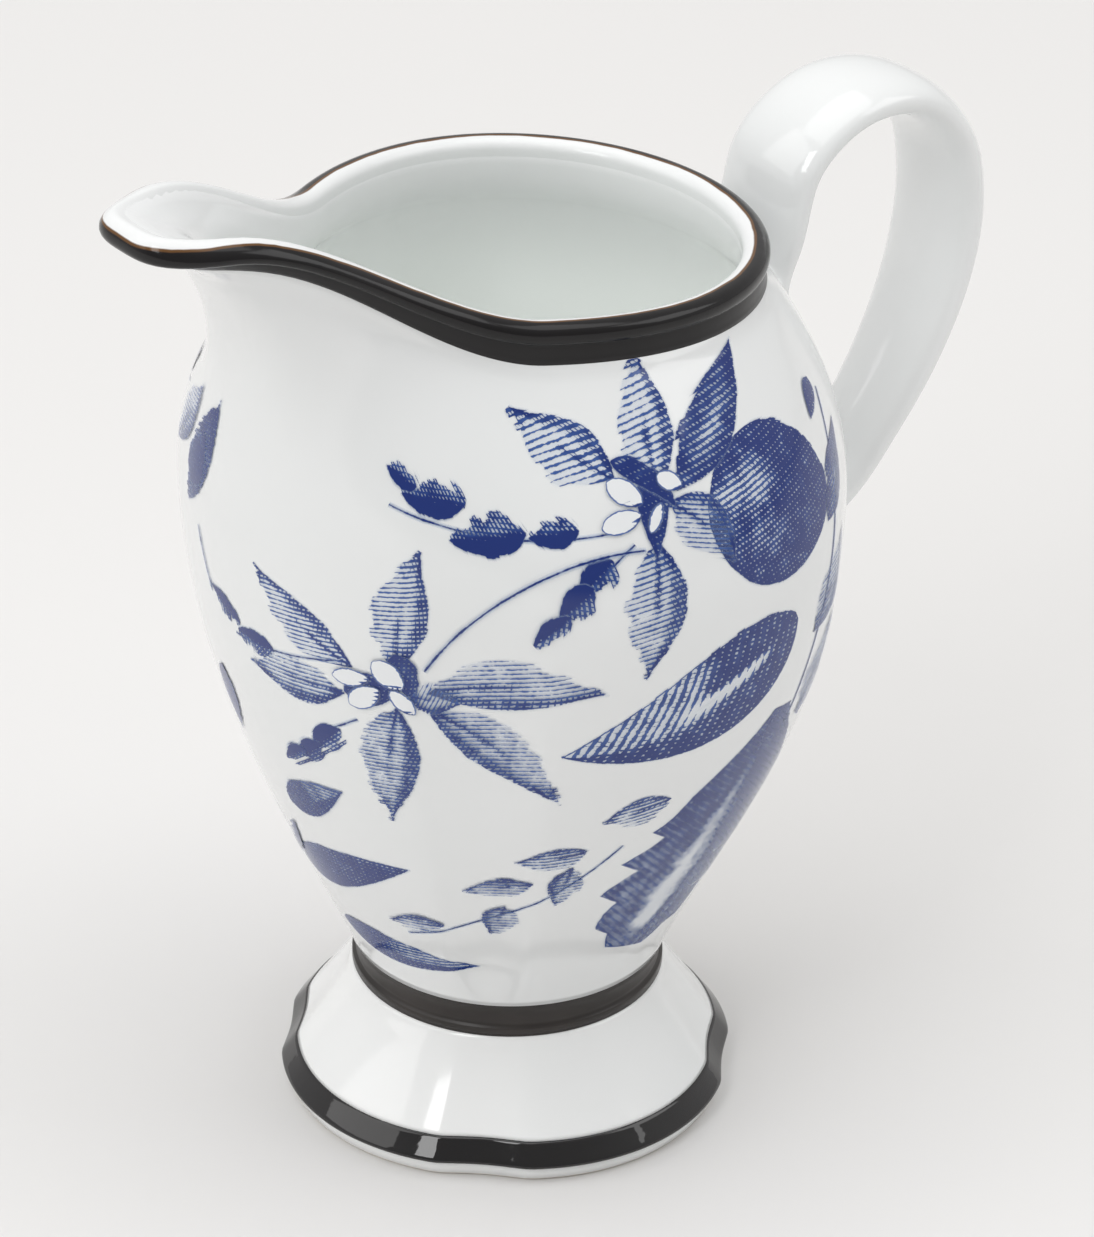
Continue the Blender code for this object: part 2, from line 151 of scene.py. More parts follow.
def bowl_point(angle, share):
    """Point of the outer surface; share runs from 0 at the waist to 1 at the rim."""
    front = abs((angle % (2 * math.pi)) - math.pi)
    climb = max((share - KEEL_START) / (1.0 - KEEL_START), 0.0)
    pull = (SPOUT_REACH - MOUTH_RADIUS) * (KEEL_SHARE * climb**2 + (1.0 - KEEL_SHARE) * climb**SPOUT_FLARE)
    spread = KEEL_SPREAD * (1.0 - max(share, KEEL_START)) / (1.0 - KEEL_START)
    half_width = SPOUT_HALF_WIDTH + (MOUTH_RADIUS - SPOUT_HALF_WIDTH) * spread
    wave = side_wave(angle) / NARROW_SIDE_HOLLOW
    wave = wave if wave > 0.0 else PANEL_HOLLOW_GAIN * wave
    fade_start, fade_span = PANEL_FADE
    fade = smooth(share / PANEL_START) * (1.0 - smooth((share - fade_start) / fade_span))
    radius = bowl_radius(share) + pull * spout_bulge(front, half_width) + PANEL_DEPTH * wave * fade
    shift = MOUTH_SHIFT * smooth((share - MOUTH_SHIFT_START) / (1.0 - MOUTH_SHIFT_START))
    x = radius * math.cos(angle) + shift
    forward = -radius * math.cos(angle)
    start, end = SPOUT_RISE_SPAN
    rise = SPOUT_RISE * smooth((forward / SPOUT_REACH - start) / (end - start))
    rise += RIM_FRONT_RISE * 0.5 * (1.0 - math.cos(angle))
    height = BOWL_BASE + share * BOWL_HEIGHT + rise * share
    return Vector((AXIS_X + x, radius * math.sin(angle), height))


def bowl_offset(angle, share, offset):
    """Point at a distance out of the outer surface."""
    step = 0.002
    up = bowl_point(angle, min(share + step, 1.0)) - bowl_point(angle, max(share - step, 0.0))
    around = bowl_point(angle + step, share) - bowl_point(angle - step, share)
    return bowl_point(angle, share) + around.cross(up).normalized() * offset


def share_below_rim(angle, depth):
    """Share of height that lies a depth below the rim, measured down the wall."""
    step = 0.004
    share = 1.0
    here = bowl_point(angle, share)
    left = depth
    while left > 0.0:
        there = bowl_point(angle, share - step)
        length = (there - here).length
        if length >= left:
            return share - step * left / length
        left -= length
        share -= step
        here = there
    return share


def lip_point(angle, offset, height):
    """Point of the lip's section: offset out of the wall, height above or below the rim line."""
    if height <= 0.0:
        return bowl_offset(angle, share_below_rim(angle, -height), offset)
    up = (bowl_point(angle, 1.0) - bowl_point(angle, 0.99)).normalized()
    return bowl_offset(angle, 1.0, offset) + up * height


def bowl_angles(sides):
    """Angles round the bowl, closer together at the spout."""
    turns = [2 * math.pi * index / sides for index in range(sides)]
    return [turn + SPOUT_CROWDING * math.sin(turn) for turn in turns]


def put(name, data):
    piece = bpy.data.objects.new(name, data)
    bpy.context.scene.collection.objects.link(piece)
    return piece


def skin(name, rings, marks=None, capped=(True, True)):
    """Smooth mesh through rings of points; marks are numbers for each point, kept as attributes."""
    count = len(rings[0])
    points = [point for ring in rings for point in ring]
    faces = []
    for row in range(len(rings) - 1):
        low = row * count
        high = low + count
        for index in range(count):
            after = (index + 1) % count
            faces.append((low + index, low + after, high + after, high + index))
    for cap, row, order in ((capped[0], 0, -1), (capped[1], len(rings) - 1, 1)):
        if cap:
            middle = sum((point for point in rings[row]), Vector()) / count
            points.append(middle)
            centre = len(points) - 1
            ends = [row * count + index for index in range(count)][::order]
            faces += [(ends[index - 1], ends[index], centre) for index in range(count)]
    mesh = bpy.data.meshes.new(name)
    mesh.from_pydata(points, [], faces)
    mesh.shade_smooth()
    for mark, values in (marks or {}).items():
        layer = mesh.attributes.new(mark, "FLOAT", "POINT")
        flat = [value for ring in values for value in ring]
        flat += [flat[-1]] * (len(points) - len(flat))
        layer.data.foreach_set("value", flat)
    return put(name, mesh)


class Value:
    """A shader number; arithmetic on it adds Math nodes."""

    def __init__(self, paint, socket):
        self.paint = paint
        self.socket = socket

    def math(self, operation, *others):
        inputs = dict(enumerate((self, *others)))
        return self.paint.node("ShaderNodeMath", {"operation": operation}, inputs)

    def __add__(self, other):
        return self.math("ADD", other)

    __radd__ = __add__

    def __sub__(self, other):
        return self.math("SUBTRACT", other)

    def __rsub__(self, other):
        return (self * -1.0) + other

    def __mul__(self, other):
        return self.math("MULTIPLY", other)

    __rmul__ = __mul__

    def __truediv__(self, other):
        return self.math("DIVIDE", other)

    def above(self, edge, softness):
        """0 below the edge and 1 above it, over a soft width."""
        settings = {"interpolation_type": "SMOOTHSTEP"}
        span = {"Value": self, "From Min": edge - softness / 2, "From Max": edge + softness / 2}
        return self.paint.node("ShaderNodeMapRange", settings, span)


class Paint:
    """A material with one Principled shader, built up from nodes."""

    def __init__(self, name, **constants):
        self.material = bpy.data.materials.new(name)
        self.material.use_nodes = True
        self.tree = self.material.node_tree
        self.shader = self.tree.nodes["Principled BSDF"]
        for socket, value in constants.items():
            self.shader.inputs[socket.replace("_", " ")].default_value = value

    def fill(self, socket, value):
        if isinstance(value, Value):
            self.tree.links.new(value.socket, socket)
        elif isinstance(value, tuple) and socket.type == "RGBA" and len(value) == 3:
            socket.default_value = (*value, 1.0)
        else:
            socket.default_value = value

    def node(self, kind, settings, inputs, output=0):
        made = self.tree.nodes.new(kind)
        for setting, value in settings.items():
            setattr(made, setting, value)
        for socket, value in inputs.items():
            self.fill(made.inputs[socket], value)
        return Value(self, made.outputs[output])

    def mark(self, name):
        return self.node("ShaderNodeAttribute", {"attribute_name": name}, {}, "Fac")

    def place(self):
        return self.node("ShaderNodeTexCoord", {}, {}, "Object")

    def noise(self, scale, detail=2.0):
        inputs = {"Vector": self.place(), "Scale": scale, "Detail": detail}
        return self.node("ShaderNodeTexNoise", {}, inputs, "Fac")

    def blend(self, share, first, second):
        return self.node("ShaderNodeMix", {"data_type": "RGBA"}, {0: share, 6: first, 7: second}, 2)

    def bump(self, height, distance, strength=1.0):
        relief = {"Height": height, "Distance": distance, "Strength": strength}
        return self.node("ShaderNodeBump", {}, relief)

    def finish(self, **channels):
        for socket, value in channels.items():
            self.fill(self.shader.inputs[socket.replace("_", " ")], value)
        return self.material


GLAZE_WHITE = (0.825, 0.838, 0.838)
GLAZE_COOL = (0.79, 0.81, 0.808)
# Inside colour: a touch green where the glaze pools, and painted lighter than the outside as painted light
# in the hollow.
GLAZE_POOLED_PAINTED_LIGHTER = (0.94, 0.965, 0.945)
GLAZE_IOR = 1.5
GLAZE_COAT = 0.35
GLAZE_GLOSS = 0.085
RIPPLE_SCALE = 140.0
RIPPLE_DEPTH = 0.00012
RIPPLE_STRENGTH = 0.35
# Faint glow of the inside: painted light standing in for light filling the hollow, not translucency.
PAINTED_INSIDE_GLOW = 0.06
INSIDE_PAINT_RAMP_SHARE = 0.3


def glaze_paint(name, white=GLAZE_WHITE, glow=0.0):
    """Clear glossy glaze over white porcelain, with faint ripples and cooler patches where it is thick."""
    paint = Paint(name, IOR=GLAZE_IOR, Coat_Roughness=0.03, Emission_Strength=glow)
    cloud = paint.noise(scale=22.0)
    ripple = paint.noise(scale=RIPPLE_SCALE, detail=1.0)
    grain = paint.noise(scale=1800.0)
    colour = paint.blend(cloud.above(0.62, softness=0.5), white, GLAZE_COOL)
    relief = paint.bump(ripple * 0.8 + grain * 0.02, RIPPLE_DEPTH, RIPPLE_STRENGTH)
    return paint, colour, relief, GLAZE_GLOSS + cloud * 0.05


paint, colour, relief, roughness = glaze_paint("white_glaze_bowl", glow=PAINTED_INSIDE_GLOW)
# The inside is blended to the lighter, greener colour and glows faintly with it: painted light in the
# hollow.
colour = paint.blend(paint.mark("inside"), colour, GLAZE_POOLED_PAINTED_LIGHTER)
glow = paint.blend(paint.mark("inside"), (0.0, 0.0, 0.0), GLAZE_POOLED_PAINTED_LIGHTER)
bowl_glaze = paint.finish(
    Base_Color=colour, Roughness=roughness, Normal=relief, Coat_Weight=GLAZE_COAT, Emission_Color=glow
)

angles = bowl_angles(BOWL_SIDES)
band_shares = [share_below_rim(angle, BAND_WIDTH) for angle in angles]
base_centre = Vector((AXIS_X, 0.0, BOWL_BASE))
rings = [[bowl_point(angle, 0.0).lerp(base_centre, 0.5) for angle in angles]]
for row in range(BOWL_ROWS + 1):
    rings.append([bowl_point(angle, top * row / BOWL_ROWS) for angle, top in zip(angles, band_shares)])
outer_rings = rings[1:]
lip_core = ((-ENAMEL_SINK, HAIR - BAND_WIDTH), (-ENAMEL_SINK, -HAIR), (-WALL / 2, LIP_CORE_HEIGHT))
for offset, height in lip_core:
    rings.append([lip_point(angle, offset, height) for angle in angles])
outer_count = len(rings)
inner_shares = [share_below_rim(angle, INNER_START) for angle in angles]
floor_share = (FLOOR_THICKNESS + FLOOR_FILLET) / BOWL_HEIGHT
for row in range(INNER_ROWS + 1):
    ring = []
    for angle, top in zip(angles, inner_shares):
        ring.append(bowl_offset(angle, top + (floor_share - top) * row / INNER_ROWS, -WALL))
    rings.append(ring)
floor_height = BOWL_BASE + FLOOR_THICKNESS
floor_radius = bowl_radius(floor_share) - WALL
floor_edge = rings[-1][0].z
for part in FLOOR_STEPS:
    radius = floor_radius * part
    height = floor_height + (floor_edge - floor_height) * smooth((part - FLOOR_FLAT) / FLOOR_CURL)
    rings.append([Vector((AXIS_X + radius * math.cos(a), radius * math.sin(a), height)) for a in angles])
inner_count = len(rings) - outer_count
# Ramp down the inside from the lip, for the greener tint and the painted light.
depths = [smooth(row / (INSIDE_PAINT_RAMP_SHARE * INNER_ROWS)) for row in range(inner_count)]
inside = [[0.0] * BOWL_SIDES] * outer_count + [[depth] * BOWL_SIDES for depth in depths]
bowl = skin("bowl", rings, {"inside": inside})
bowl.data.materials.append(bowl_glaze)
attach(bowl, "root")
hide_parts("body")

# ---------------------------------------------------------------- rim enamel
# A band of black enamel is brushed round the outside of the lip and fired on over the glaze.
# It is thick and glassy on the rolled bead, flatter below, and thins to an amber line on the lip's crest.

BEAD_HEIGHT = 0.0013
BEAD_SWELL = 0.00042
BEAD_MIDDLE = 0.0004
LIP_CREST = 0.0009
BEAD_STEPS = 9
CREST_STEPS = 20

# Each point is its distance out of the wall, its height from the rim line, and its share of the way round.
profile = [(-0.00006, -BAND_WIDTH - 0.00004, 0.0), (0.00003, -BAND_WIDTH + 0.00004, 0.02)]
profile += [(0.00004, -BAND_WIDTH * 0.85, 0.08), (0.00003, -BAND_WIDTH * 0.7, 0.14)]
profile += [(0.0, -BEAD_HEIGHT * 1.12, 0.20), (-0.00004, -BEAD_HEIGHT, 0.24)]
for index in range(1, BEAD_STEPS):
    part = index / BEAD_STEPS
    turn = 0.5 * math.pi * part
    swell = BEAD_SWELL * math.sin(turn) ** 0.9
    height = -BEAD_MIDDLE - (BEAD_HEIGHT - BEAD_MIDDLE) * math.cos(turn)
    profile.append((swell, height, 0.25 + 0.20 * part))
half = (BEAD_SWELL + WALL) / 2
for index in range(CREST_STEPS + 1):
    part = index / CREST_STEPS
    out = BEAD_SWELL - half + half * math.cos(math.pi * part)
    height = -BEAD_MIDDLE + (LIP_CREST + BEAD_MIDDLE) * math.sin(math.pi * part) ** 0.85
    profile.append((out, height, 0.45 + 0.5 * part))
profile += [(-WALL - 0.00001, -0.0008, 1.0), (-WALL + 0.00002, -0.0016, 1.0), (-WALL + 0.0001, -0.0024, 1.0)]
rings = [[lip_point(a, offset, height) for a in angles] for offset, height, mark in profile]
crest = [[mark] * BOWL_SIDES for offset, height, mark in profile]
rim = skin("rim_enamel", rings, {"crest": crest}, capped=(False, False))


ENAMEL_BLACK = (0.0065, 0.0058, 0.0062)
ENAMEL_IOR = 1.40
THIN_SPOT = 1.7
AMBER = (0.13, 0.060, 0.020)
BEAD_FOOT_MARK = 0.24
AMBER_MARK = 0.695
WHITE_MARK = 0.73
BRUSH_WANDER = 0.04
SATIN_FACE = 0.17


def enamel_paint(name, black, roughness, wear, ior=ENAMEL_IOR):
    """Fired black enamel, a little paler and rougher where it lies thin."""
    paint = Paint(name, IOR=ior)
    cloud = paint.noise(scale=60.0, detail=3.0)
    ripple = paint.noise(scale=420.0)
    colour = paint.blend(cloud.above(0.55, softness=0.4), black, tuple(part * THIN_SPOT for part in black))
    relief = paint.bump(ripple, distance=0.00010, strength=0.30)
    return paint, colour, relief, roughness + cloud * wear


paint, black, relief, gloss = enamel_paint("black_enamel_rim", ENAMEL_BLACK, roughness=0.08, wear=0.10)
place = paint.mark("crest") + (paint.noise(scale=240.0) - 0.5) * BRUSH_WANDER
flat_face = 1.0 - place.above(BEAD_FOOT_MARK, softness=0.04)
amber = paint.blend(place.above(AMBER_MARK, softness=0.02), black, AMBER)
colour = paint.blend(place.above(WHITE_MARK, softness=0.02), amber, GLAZE_WHITE)
rim.data.materials.append(
    paint.finish(Base_Color=colour, Roughness=gloss + flat_face * SATIN_FACE, Normal=relief)
)
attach(rim, "root")
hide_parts("rim_band")

# ---------------------------------------------------------------- foot
# The foot is cast apart as a hollow pedestal, eight-sided with soft corners, and luted on with slip.
# It carries the same glaze, wiped off only from the ring it stands on; its white is painted lighter
# than the bowl's, as painted light.

FOOT_RADIUS = 0.0247
FOOT_SHOULDER = 0.0239
FOOT_BASE_HEIGHT = 0.0021
FOOT_BAND_HEIGHT = 0.0026
FOOT_FLARE = 1.12
FOOT_PANEL_START = 0.2
FOOT_EASED_EDGE = 0.0005
STANDING_RING = 0.0018
HOLLOW_START = 0.0026
HOLLOW_TIP = 0.004
HOLLOW_CROWN = 0.0034
FLARE_STEPS = 24
EDGE_STEPS = 5
HOLLOW_STEPS = 15
WAIST_RADIUS = 0.0176
WAIST_BASE = waist_low.z
FOOT_SIDES = 192
# The foot's white is the bowl's glaze painted lighter: painted light on the foot.
FOOT_WHITE_PAINTED_LIGHTER = (0.90, 0.91, 0.905)
BARE_CLAY = ((0.62, 0.58, 0.52), (0.74, 0.70, 0.64))
BARE_HEIGHT = 0.0003


def panel_ring(radius, height, amount):
    """Ring of the eight-sided foot: amount 0 gives a circle and 1 its full bow and hollow."""
    ring = []
    for index in range(FOOT_SIDES):
        angle = 2 * math.pi * index / FOOT_SIDES
        reach = radius * (1.0 + amount * side_wave(angle))
        ring.append(Vector((AXIS_X + reach * math.cos(angle), reach * math.sin(angle), height)))
    return ring


band_top = FOOT_BASE_HEIGHT + FOOT_BAND_HEIGHT
rings = [panel_ring(WAIST_RADIUS * 0.9, WAIST_BASE, 0.0), panel_ring(WAIST_RADIUS, WAIST_BASE, 0.0)]
for index in range(1, FLARE_STEPS + 1):
    part = index / FLARE_STEPS
    radius = WAIST_RADIUS + (FOOT_SHOULDER - WAIST_RADIUS) * part**FOOT_FLARE
    height = WAIST_BASE + (band_top - WAIST_BASE) * part
    rings.append(panel_ring(radius, height, 0.5 * smooth(part / FOOT_PANEL_START) + 0.5 * part))
rings.append(panel_ring(FOOT_SHOULDER - ENAMEL_SINK, band_top - HAIR / 2, 1.0))
rings.append(panel_ring(FOOT_RADIUS + HAIR, FOOT_BASE_HEIGHT + 2 * HAIR, 1.0))
for part in (0.0, 0.35, 0.7):
    rings.append(panel_ring(FOOT_RADIUS + HAIR * (4 - 3 * part), FOOT_BASE_HEIGHT * (1.0 - part), 1.0))
for index in range(EDGE_STEPS + 1):
    turn = 0.5 * math.pi * index / EDGE_STEPS
    radius = FOOT_RADIUS - FOOT_EASED_EDGE + FOOT_EASED_EDGE * math.cos(turn)
    rings.append(panel_ring(radius, FOOT_EASED_EDGE * (1.0 - math.sin(turn)), 1.0))
rings.append(panel_ring(FOOT_RADIUS - STANDING_RING, 0.0, 0.8))
hollow_edge = FOOT_RADIUS - HOLLOW_START
hollow_top = WAIST_BASE - HOLLOW_CROWN
for index in range(HOLLOW_STEPS + 1):
    part = index / HOLLOW_STEPS
    radius = hollow_edge - (hollow_edge - HOLLOW_TIP) * part
    height = BARE_HEIGHT + (hollow_top - BARE_HEIGHT) * math.sin(0.5 * math.pi * part) ** 0.8
    rings.append(panel_ring(radius, height, 0.7 * (1.0 - part)))
foot = skin("pedestal", rings)
paint, colour, relief, roughness = glaze_paint("white_glaze_foot", FOOT_WHITE_PAINTED_LIGHTER)
height = paint.node("ShaderNodeSeparateXYZ", {}, {0: paint.place()}, "Z")
bare = 1.0 - height.above(BARE_HEIGHT, softness=BARE_HEIGHT)
clay = paint.blend(paint.noise(scale=900.0, detail=3.0), *BARE_CLAY)
foot_glaze = paint.finish(
    Base_Color=paint.blend(bare, colour, clay),
    Roughness=roughness + bare * 0.5,
    Normal=relief,
    Coat_Weight=GLAZE_COAT - bare * GLAZE_COAT,
)
foot.data.materials.append(foot_glaze)
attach(foot, "root")
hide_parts("foot", "waist_slip")

# ---------------------------------------------------------------- foot enamel
# Black enamel is brushed over the sloping step of the foot and fired on over the glaze.
# It is the glassiest of the three bands, flat on the slope and rounded where it pools at the lower edge.

enamel_low, enamel_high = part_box("foot_band")
BAND_EDGE = 0.5 * (enamel_high.y - enamel_low.y) / (1.0 + WIDE_SIDE_BOW)
SLOPE_STEPS = 8
FOOT_ENAMEL_IOR = 1.60

slope_top = Vector((FOOT_SHOULDER + 0.00016, band_top - 0.00005))
slope_end = Vector((BAND_EDGE - 0.00010, FOOT_BASE_HEIGHT + 0.0005))
profile = [(FOOT_SHOULDER, band_top)]
profile += [slope_top.lerp(slope_end, index / SLOPE_STEPS) for index in range(SLOPE_STEPS + 1)]
profile += [(BAND_EDGE - 0.00002, FOOT_BASE_HEIGHT + 0.00035), (BAND_EDGE, FOOT_BASE_HEIGHT + 0.0002)]
profile += [(BAND_EDGE - 0.00006, FOOT_BASE_HEIGHT + 0.00005), (BAND_EDGE - 0.0003, FOOT_BASE_HEIGHT)]
profile += [(FOOT_RADIUS - 2 * HAIR, FOOT_BASE_HEIGHT)]
rings = [panel_ring(radius, height, 1.0) for radius, height in profile]
foot_enamel = skin("foot_enamel", rings, capped=(False, False))
paint, black, relief, gloss = enamel_paint(
    "black_enamel_foot", ENAMEL_BLACK, roughness=0.02, wear=0.04, ior=FOOT_ENAMEL_IOR
)
foot_enamel.data.materials.append(paint.finish(Base_Color=black, Roughness=gloss, Normal=relief))
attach(foot_enamel, "root")
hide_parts("foot_band")

# ---------------------------------------------------------------- waist enamel
# The luting joint between foot and bowl is hidden by a narrow band of enamel with one fine ridge.
# The enamel is thinner and browner than on the rim, and fires to a satin surface.

RIDGE = waist_low.z + 0.0011
RIDGE_GROOVE = 0.0003
BAND_SAG = 0.00035
BAND_STEPS = 12
ENAMEL_BROWN = (0.026, 0.022, 0.020)

groove = Vector((WAIST_RADIUS - RIDGE_GROOVE, RIDGE + RIDGE_GROOVE))
profile = [(BOWL_FOOT_RADIUS - 0.001, waist_high.z), (BOWL_FOOT_RADIUS, waist_high.z)]
for index in range(1, BAND_STEPS):
    part = index / BAND_STEPS
    radius, height = Vector((BOWL_FOOT_RADIUS, waist_high.z)).lerp(groove, part)
    profile.append((radius - BAND_SAG * math.sin(math.pi * part), height))
profile += [(WAIST_RADIUS - 0.0004, RIDGE + 0.00012), (WAIST_RADIUS - 0.00005, RIDGE)]
profile += [(WAIST_RADIUS, RIDGE - 0.00015), (WAIST_RADIUS, waist_low.z + HAIR)]
profile += [(WAIST_RADIUS - 0.001, waist_low.z)]
rings = [panel_ring(radius, height, 0.0) for radius, height in profile]
waist = skin("waist_enamel", rings, capped=(False, False))
paint, brown, relief, gloss = enamel_paint("black_enamel_waist", ENAMEL_BROWN, roughness=0.28, wear=0.12)
waist.data.materials.append(paint.finish(Base_Color=brown, Roughness=gloss, Normal=relief))
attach(waist, "root")
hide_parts("waist_band")

# ---------------------------------------------------------------- handle
# The handle is a rounded strap pulled round in a loop, stuck on with slip at both ends.
# The slip is sponged to a small fillet at each root before glazing, so no joint shows.
# Its white is the same glaze painted a little lighter than the bowl's, as painted light on its flanks.

# A root is its drop below the rim and its depth in the wall. A point of the rise is its distance out from
# the mouth's wall and up from the rim, and a point of the bend the same, but out from the belly.
UPPER_ROOT = (0.0166, 0.0057)
HANDLE_RISE = ((0.0068, -0.0084), (0.0098, 0.0008))
HANDLE_BEND = (
    (0.0076, 0.0053),
    (0.0166, 0.0043),
    (0.0228, -0.0022),
    (0.0246, -0.0109),
    (0.0233, -0.0199),
    (0.0197, -0.0284),
    (0.0145, -0.0361),
    (0.0079, -0.0431),
)
LOWER_ROOT = (0.0484, 0.0014)
HANDLE_WIDTHS = (0.0134, 0.0136, 0.0100)
HANDLE_THICKNESS = 0.00488
HANDLE_SQUARENESS = 2.15
HANDLE_SIDES = 56
HANDLE_STATIONS = 150
FILLET = 0.0026
FILLET_STEPS = 12
SLIP_CLEARANCE = 0.6
PROBE_BACK = 0.02
PROBE_LENGTH = 0.06
NO_WALL = 0.05
ROOT_TUCK = 0.00002
# The handle's white is the bowl's glaze painted a little lighter: painted light on the handle.
HANDLE_WHITE_PAINTED_LIGHTER = (0.845, 0.857, 0.855)


def root_point(root):
    below_rim, depth = root
    height = RIM_HEIGHT - below_rim
    wall = bowl_point(0.0, (height - BOWL_BASE) / BOWL_HEIGHT).x - AXIS_X
    return (wall - depth, height)


handle_path = [root_point(UPPER_ROOT)]
mouth_wall = MOUTH_RADIUS + MOUTH_SHIFT
handle_path += [(mouth_wall + outwards, RIM_HEIGHT + upwards) for outwards, upwards in HANDLE_RISE]
handle_path += [(BELLY_RADIUS + outwards, RIM_HEIGHT + upwards) for outwards, upwards in HANDLE_BEND]
handle_path += [root_point(LOWER_ROOT)]


def catmull(points, share):
    """Point and direction at a share of a smooth curve through evenly spaced points."""
    spans = len(points) - 1
    place = min(max(share, 0.0), 1.0) * spans
    span = min(int(place), spans - 1)
    t = place - span
    p1 = Vector(points[span])
    p2 = Vector(points[span + 1])
    p0 = Vector(points[span - 1]) if span > 0 else 2 * p1 - p2
    p3 = Vector(points[span + 2]) if span + 2 <= spans else 2 * p2 - p1
    b = p2 - p0
    c = 2 * p0 - 5 * p1 + 4 * p2 - p3
    d = 3 * p1 - p0 - 3 * p2 + p3
    return 0.5 * (2 * p1 + b * t + c * t * t + d * t * t * t), (b + 2 * c * t + 3 * d * t * t).normalized()


def handle_ring(share):
    point, slope = catmull(handle_path, share)
    across = Vector((-slope.y, slope.x))
    first, middle, last = HANDLE_WIDTHS
    width = first + (middle - first) * smooth(share * 2.0)
    if share > 0.5:
        width = middle + (last - middle) * smooth(share * 2.0 - 1.0)
    ring = []
    power = 2.0 / HANDLE_SQUARENESS
    for index in range(HANDLE_SIDES):
        turn = 2 * math.pi * index / HANDLE_SIDES
        side = math.copysign(abs(math.cos(turn)) ** power, math.cos(turn)) * width / 2
        thick = math.copysign(abs(math.sin(turn)) ** power, math.sin(turn)) * HANDLE_THICKNESS / 2
        ring.append(Vector((AXIS_X + point.x + across.x * thick, side, point.y + across.y * thick)))
    return ring


outer_shell = skin("outer_shell", outer_rings, capped=(False, False))
shell_points = [vertex.co for vertex in outer_shell.data.vertices]
shell_faces = [polygon.vertices for polygon in outer_shell.data.polygons]
bowl_tree = BVHTree.FromPolygons(shell_points, shell_faces)
bpy.data.objects.remove(outer_shell)


def reach_wall(points, direction):
    """Distance of each point to the bowl's wall along the handle's direction, negative inside it."""
    spans = []
    for point in points:
        start = point - direction * PROBE_BACK
        hit = bowl_tree.ray_cast(start, direction, PROBE_LENGTH)[0]
        spans.append((hit - start).length - PROBE_BACK if hit else NO_WALL)
    return spans


def root_rings(share, sign):
    """Fillet from the strap's section at a share down to the bowl's wall."""
    ring = handle_ring(share)
    slope = catmull(handle_path, share)[1]
    direction = Vector((slope.x, 0.0, slope.y)) * sign
    landings = [point + direction * span for point, span in zip(ring, reach_wall(ring, direction))]
    centre = sum(landings, Vector()) / len(landings)
    feet = []
    for landing in landings:
        out = (landing - centre).normalized()
        near, normal = bowl_tree.find_nearest(landing + out * FILLET)[:2]
        feet.append(near - normal * ROOT_TUCK)
    rings = []
    for index in range(FILLET_STEPS + 1):
        t = index / FILLET_STEPS
        row = []
        for point, corner, foot_spot in zip(ring, landings, feet):
            row.append(point * (1 - t) ** 2 + corner * 2 * t * (1 - t) + foot_spot * t * t)
        rings.append(row)
    return rings


def clear_share(shares, sign):
    """First share whose whole section stands clear of the wall by the fillet's size."""
    for share in shares:
        ring = handle_ring(share)
        slope = catmull(handle_path, share)[1]
        direction = Vector((slope.x, 0.0, slope.y)) * sign
        if min(reach_wall(ring, direction)) > FILLET * SLIP_CLEARANCE:
            return share
    return share


steps = [index / HANDLE_STATIONS for index in range(HANDLE_STATIONS + 1)]
upper = clear_share(steps[: HANDLE_STATIONS // 3], -1)
lower = clear_share(steps[: HANDLE_STATIONS * 2 // 3 : -1], 1)
rings = root_rings(upper, -1)[::-1]
for index in range(1, HANDLE_STATIONS):
    rings.append(handle_ring(upper + (lower - upper) * index / HANDLE_STATIONS))
rings += root_rings(lower, 1)
handle = skin("strap_handle", rings, capped=(False, False))
paint, colour, relief, roughness = glaze_paint("white_glaze_handle", HANDLE_WHITE_PAINTED_LIGHTER)
handle.data.materials.append(
    paint.finish(Base_Color=colour, Roughness=roughness, Normal=relief, Coat_Weight=GLAZE_COAT)
)
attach(handle, "root")
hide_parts("handle", "upper_root_slip", "lower_root_slip")

# ---------------------------------------------------------------- printed flowers
# The flowers are a cobalt-blue transfer under the glaze, engraved in parallel lines that are crossed
# where the shade is deeper. Each petal, leaf and stem is a film that follows the bowl's surface.

FILM = 0.00004
LAYER_LIFT = 0.00002
INK_DARK = (0.0100, 0.029, 0.172)
INK_SOFT = (0.050, 0.115, 0.350)
WASH = (0.36, 0.48, 0.72)
PAPER_WHITE = (0.82, 0.84, 0.855)
HATCH_PITCH = 0.56
LINE_WOBBLE = 0.25
CROSS_WOBBLE = 0.30
CROSS_GAIN = 1.9
CROSS_START = 0.82

paint = Paint("cobalt_print", IOR=GLAZE_IOR)
tone = paint.mark("tone")
fringe = paint.mark("fringe")
fray = paint.noise(scale=2400.0) - 0.5
patchy = paint.noise(scale=620.0) - 0.5
line_wave = paint.mark("lines") / HATCH_PITCH + patchy * LINE_WOBBLE
cross_wave = paint.mark("cross") / HATCH_PITCH + patchy * CROSS_WOBBLE
line_number = line_wave.math("FLOOR")
line_end = paint.node("ShaderNodeTexWhiteNoise", {"noise_dimensions": "1D"}, {1: line_number}, 0) - 0.5
rim_mm = paint.mark("edge") + line_end * fringe


def hatch(wave, cover):
    """Parallel engraved lines: inked where a saw wave lies under the cover."""
    saw = wave.math("PINGPONG", 0.5) * 2.0
    return (cover + fray * 0.9 + patchy * 0.8 - saw).above(0.0, softness=0.30)


